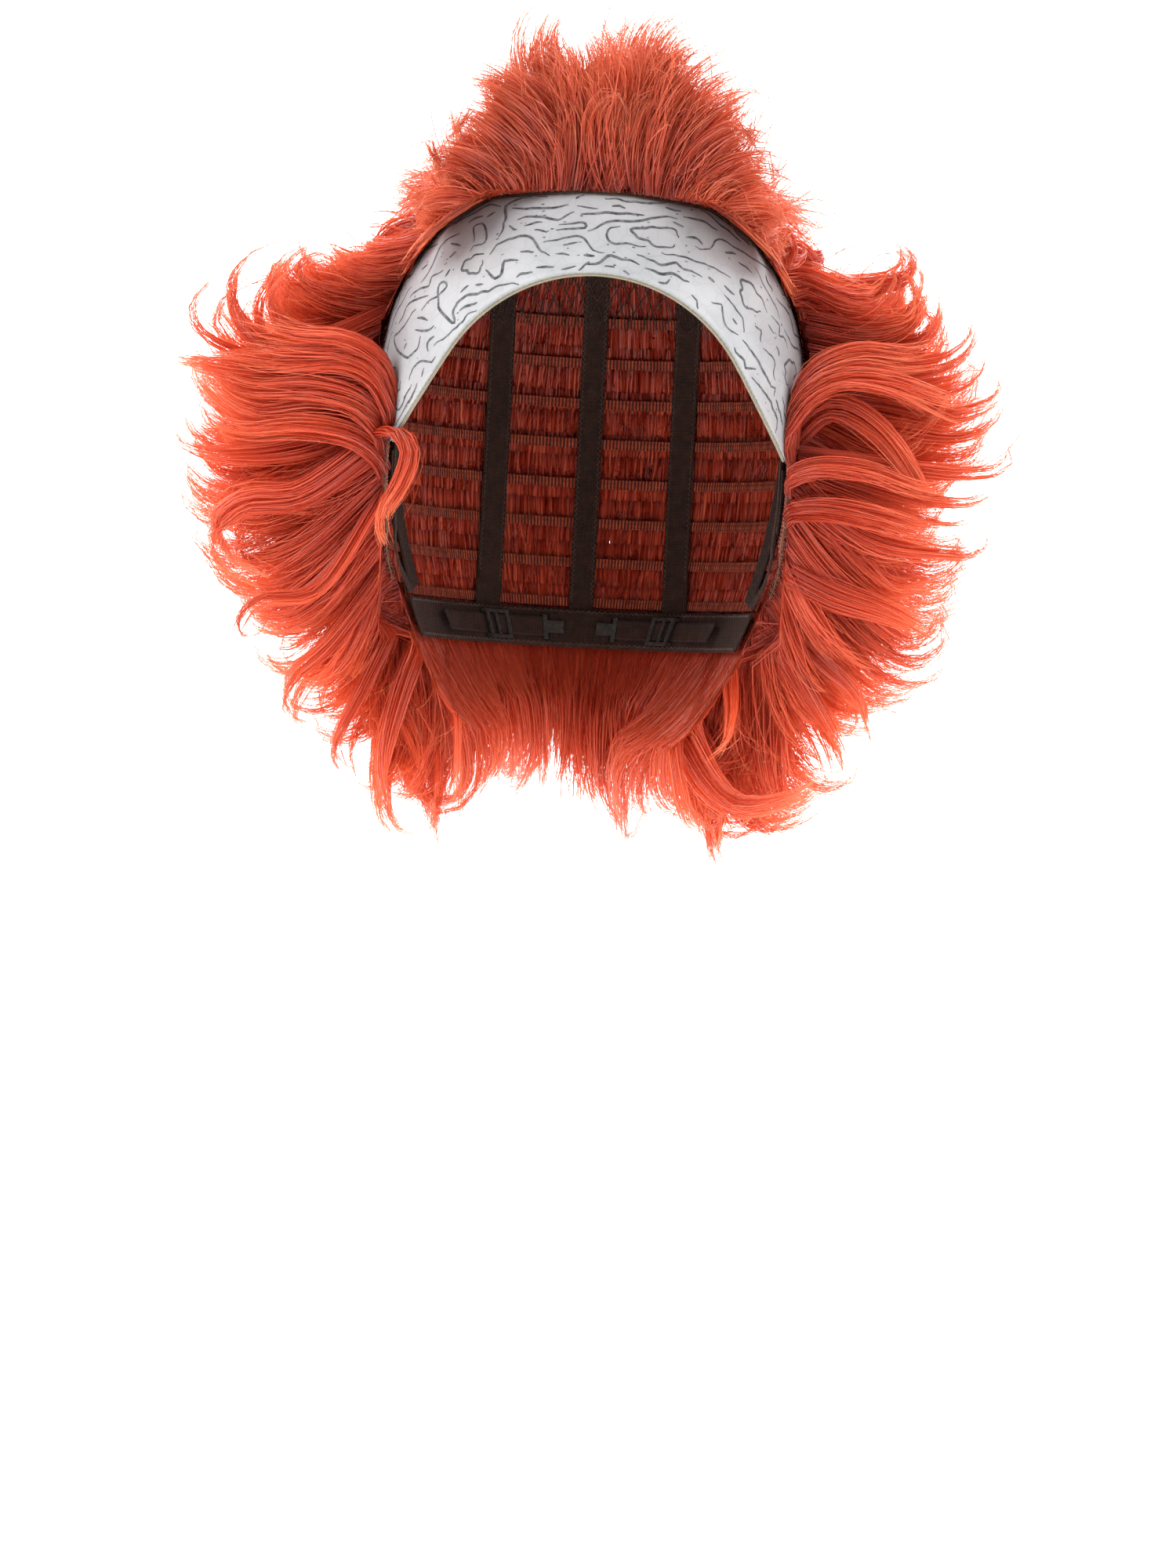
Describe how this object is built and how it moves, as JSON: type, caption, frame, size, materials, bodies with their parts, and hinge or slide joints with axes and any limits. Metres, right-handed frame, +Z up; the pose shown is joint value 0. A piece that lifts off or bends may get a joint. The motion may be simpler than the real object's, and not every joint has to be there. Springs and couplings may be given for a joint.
{
  "type": "costume wig",
  "caption": "Bright red-orange costume wig with a tall fanned crest, flipped-out side hair and a pale crackle-printed forehead band on a wefted, adjustable cap.",
  "frame": {"origin": "middle of the head cavity at its widest level, between the temples", "axes": "+Z up towards the crown, -Y the way the wearer faces, +X to the wearer's left (the right as seen from in front)"},
  "size_m": [0.324, 0.259, 0.3227],
  "materials": {
    "fibre": "glossy synthetic fibre",
    "band_vinyl": "satin, crackle printed",
    "tan_lining": "matt knit",
    "cap_net": "open stretch net",
    "cap_ribbon": "woven elastic",
    "weft_tape": "stitched fibre heads",
    "clip_plastic": "moulded"
  },
  "bodies": {
    "cap": {"back_hair_lower": "fibre", "back_hair_middle": "fibre", "back_hair_upper": "fibre", "back_weft_1": "weft_tape", "back_weft_2": "weft_tape", "back_weft_3": "weft_tape", "back_weft_4": "weft_tape", "back_weft_5": "weft_tape", "back_weft_6": "weft_tape", "back_weft_7": "weft_tape", "back_weft_8": "weft_tape", "back_weft_9": "weft_tape", "band_edge_binding": "tan_lining", "band_seam_tape": "tan_lining", "centre_ribbon": "cap_ribbon", "crest_hair": "fibre", "crown_hair": "fibre", "crown_net": "cap_net", "crown_weft_1": "weft_tape", "crown_weft_2": "weft_tape", "crown_weft_3": "weft_tape", "crown_weft_4": "weft_tape", "crown_weft_5": "weft_tape", "crown_weft_6": "weft_tape", "forehead_band": "band_vinyl", "forehead_lining": "tan_lining", "hairline_weft": "weft_tape", "left_crown_ribbon": "cap_ribbon", "left_ear_tab": "cap_ribbon", "left_edge_tape": "cap_ribbon", "left_hair_lower": "fibre", "left_hair_middle": "fibre", "left_hair_nape": "fibre", "left_hair_upper": "fibre", "left_hook_loop": "cap_ribbon", "left_side_ribbon": "cap_ribbon", "left_slider_strap": "cap_ribbon", "left_strap_hook": "clip_plastic", "left_strap_return": "cap_ribbon", "left_temple_lock": "fibre", "left_temple_weft": "weft_tape", "nape_tape": "cap_ribbon", "right_crown_ribbon": "cap_ribbon", "right_ear_tab": "cap_ribbon", "right_edge_tape": "cap_ribbon", "right_hair_lower": "fibre", "right_hair_middle": "fibre", "right_hair_nape": "fibre", "right_hair_upper": "fibre", "right_hook_loop": "cap_ribbon", "right_side_ribbon": "cap_ribbon", "right_slider_strap": "cap_ribbon", "right_strap_hook": "clip_plastic", "right_strap_return": "cap_ribbon", "right_temple_weft": "weft_tape"},
    "left_slider": {"left_slider": "clip_plastic"},
    "right_slider": {"right_slider": "clip_plastic"}
  },
  "joints": [
    {"name": "left_slider_travel", "type": "hinge", "parent": "cap", "child": "left_slider", "pos_m": [0, 0.0211, -0.088], "axis": [0, 0, 1], "range_deg": [-10, 12], "deforming": ["left_strap_return"]},
    {"name": "right_slider_travel", "type": "hinge", "parent": "cap", "child": "right_slider", "pos_m": [0, 0.0211, -0.088], "axis": [0, 0, -1], "range_deg": [-10, 12], "deforming": ["right_strap_return"]}
  ]
}
